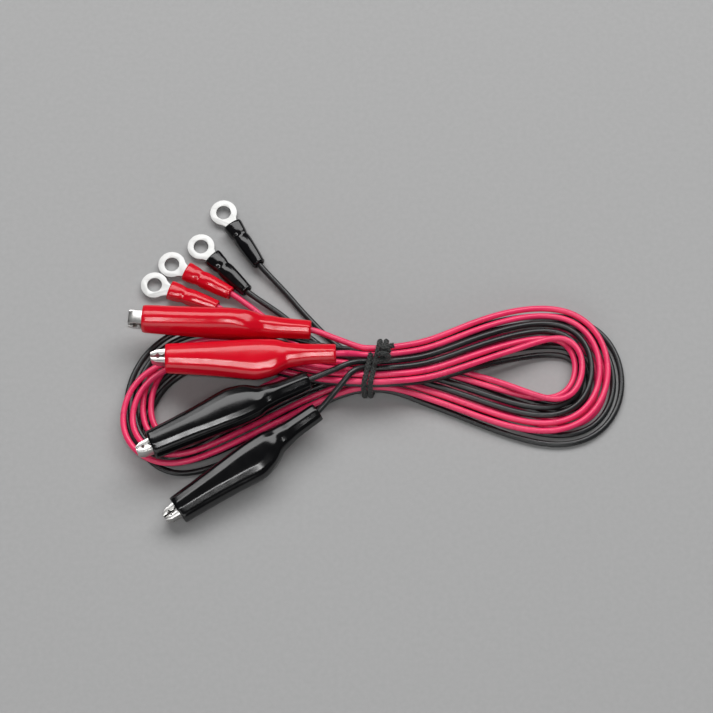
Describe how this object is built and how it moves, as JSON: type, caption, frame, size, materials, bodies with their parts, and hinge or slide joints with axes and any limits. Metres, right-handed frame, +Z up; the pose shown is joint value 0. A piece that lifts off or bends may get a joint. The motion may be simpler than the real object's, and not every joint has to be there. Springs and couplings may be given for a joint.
{
  "type": "test lead set",
  "caption": "Tied hank of red and black test leads, each with a booted alligator clip and a sleeved ring terminal.",
  "frame": {"origin": "under the middle of the bounding box, on the floor the leads lie on", "axes": "+X along the hank from the clips to the bare loop end, +Y to the far side where the rings lie, +Z up"},
  "size_m": [0.142, 0.0981, 0.0178],
  "materials": {
    "red_wire": "smooth satin",
    "black_wire": "smooth satin",
    "red_vinyl": "dip-moulded gloss",
    "black_vinyl": "dip-moulded gloss",
    "nickel": "bright nickel plate on steel sheet",
    "spring_steel": "drawn wire",
    "tin": "bright tin plate",
    "copper": "bare stranded copper",
    "cord": "braided, matte"
  },
  "bodies": {
    "leads": {"red_1_hank": "red_wire", "red_2_hank": "red_wire", "black_1_hank": "black_wire", "black_2_hank": "black_wire", "red_1_clip_lead": "red_wire", "red_2_clip_lead": "red_wire", "black_1_clip_lead": "black_wire", "black_2_clip_lead": "black_wire", "red_1_ring_lead": "red_wire", "red_2_ring_lead": "red_wire", "black_1_ring_lead": "black_wire", "black_2_ring_lead": "black_wire", "red_1_boot": "red_vinyl", "red_2_boot": "red_vinyl", "black_1_boot": "black_vinyl", "black_2_boot": "black_vinyl", "red_1_fixed_jaw": "nickel", "red_2_fixed_jaw": "nickel", "black_1_fixed_jaw": "nickel", "black_2_fixed_jaw": "nickel", "red_1_rivet": "nickel", "red_2_rivet": "nickel", "black_1_rivet": "nickel", "black_2_rivet": "nickel", "red_1_spring": "spring_steel", "red_2_spring": "spring_steel", "black_1_spring": "spring_steel", "black_2_spring": "spring_steel", "red_1_ring": "tin", "red_2_ring": "tin", "black_1_ring": "tin", "black_2_ring": "tin", "red_1_sleeve": "red_vinyl", "red_2_sleeve": "red_vinyl", "black_1_sleeve": "black_vinyl", "black_2_sleeve": "black_vinyl", "conductor_ends": "copper", "tie": "cord", "tie_knot": "cord"},
    "red_1_jaw": {"red_1_moving_jaw": "nickel"},
    "red_2_jaw": {"red_2_moving_jaw": "nickel"},
    "black_1_jaw": {"black_1_moving_jaw": "nickel"},
    "black_2_jaw": {"black_2_moving_jaw": "nickel"}
  },
  "joints": [
    {"name": "red_1_jaw_hinge", "type": "hinge", "parent": "leads", "child": "red_1_jaw", "pos_m": [-0.04473, 0.00693, 0.0109], "axis": [0.0698, 0.9976, 0], "range_deg": [0, 20], "stiffness_Nm_per_rad": 0.06, "springref_deg": -40.11, "deforming": ["red_1_boot", "red_1_spring"]},
    {"name": "red_2_jaw_hinge", "type": "hinge", "parent": "leads", "child": "red_2_jaw", "pos_m": [-0.03769, -0.00341, 0.01252], "axis": [-0.014, -0.0003, 0.9999], "range_deg": [0, 20], "stiffness_Nm_per_rad": 0.06, "springref_deg": -40.11, "deforming": ["red_2_boot", "red_2_spring"]},
    {"name": "black_1_jaw_hinge", "type": "hinge", "parent": "leads", "child": "black_1_jaw", "pos_m": [-0.04297, -0.02073, 0.0107], "axis": [0, 0, -1], "range_deg": [0, 20], "stiffness_Nm_per_rad": 0.06, "springref_deg": -40.11, "deforming": ["black_1_boot", "black_1_spring"]},
    {"name": "black_2_jaw_hinge", "type": "hinge", "parent": "leads", "child": "black_2_jaw", "pos_m": [-0.03773, -0.03369, 0.00572], "axis": [-0.0568, -0.0405, 0.9976], "range_deg": [0, 20], "stiffness_Nm_per_rad": 0.06, "springref_deg": -40.11, "deforming": ["black_2_boot", "black_2_spring"]}
  ]
}
